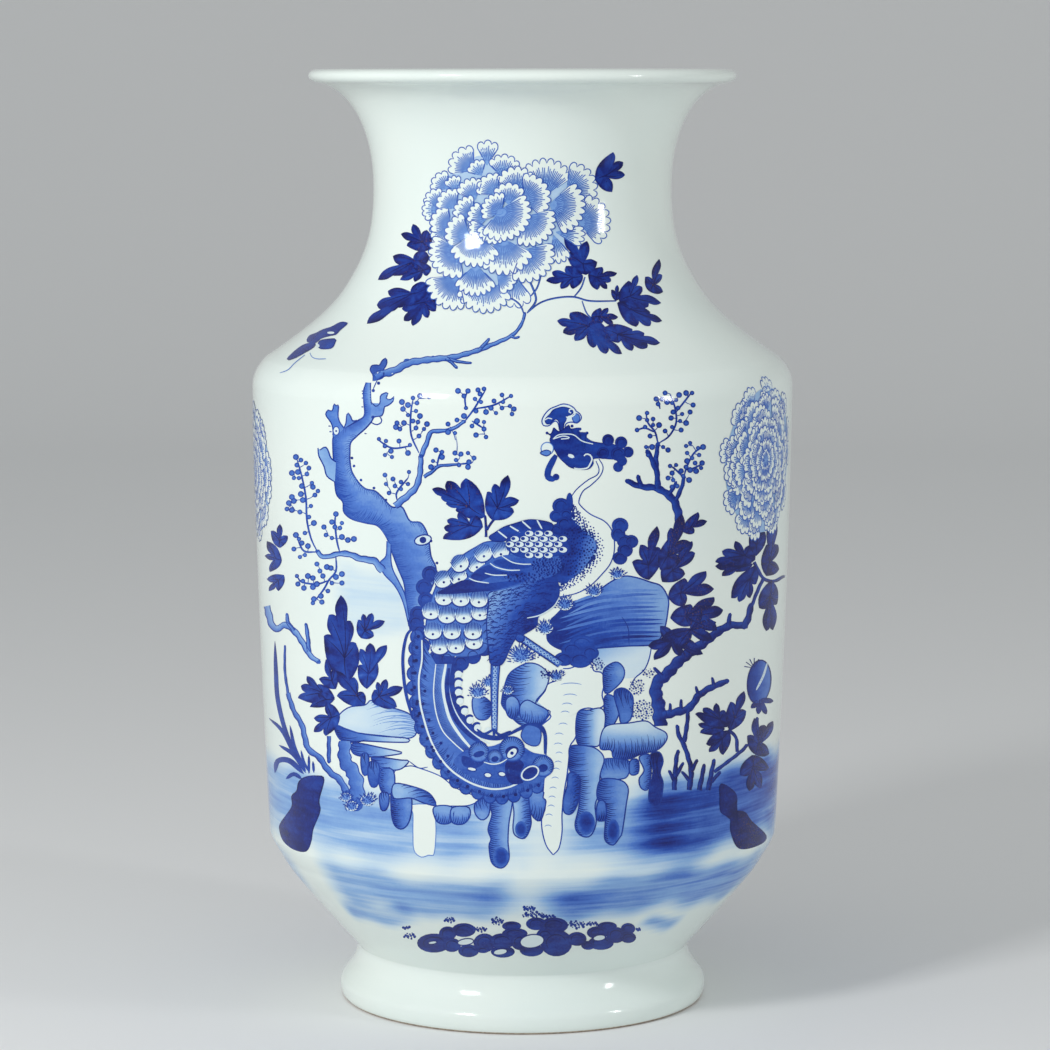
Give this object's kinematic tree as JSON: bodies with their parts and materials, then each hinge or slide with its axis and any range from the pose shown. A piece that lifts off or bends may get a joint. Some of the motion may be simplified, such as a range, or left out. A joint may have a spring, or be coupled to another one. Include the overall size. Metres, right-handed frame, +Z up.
{
  "type": "lantern vase",
  "caption": "Tall porcelain lantern vase with trumpet mouth, angled shoulder, straight barrel, sloping base and spreading foot; built as luted thrown sections.",
  "frame": {"origin": "centre of the foot's resting face, on the surface the vase stands on", "axes": "+Z up along the vase's axis of turning; -Y towards the painted front; +X to the viewer's right"},
  "size_m": [0.2576, 0.2576, 0.4458],
  "materials": {
    "painted_porcelain": "glossy clear glaze over white porcelain, painted in cobalt blue",
    "foot_porcelain": "glossy white glaze with a bare biscuit resting edge",
    "luting_slip": "glazed porcelain slip"
  },
  "bodies": {
    "root": {"foot_ring": "foot_porcelain", "foot_slip_fillet": "luting_slip", "lower_body": "painted_porcelain", "base_slip_bead": "luting_slip", "barrel_lower": "painted_porcelain", "middle_slip_bead": "luting_slip", "barrel_upper": "painted_porcelain", "shoulder_slip_bead": "luting_slip", "shoulder": "painted_porcelain", "neck_slip_bead": "luting_slip", "neck": "painted_porcelain"}
  },
  "joints": []
}
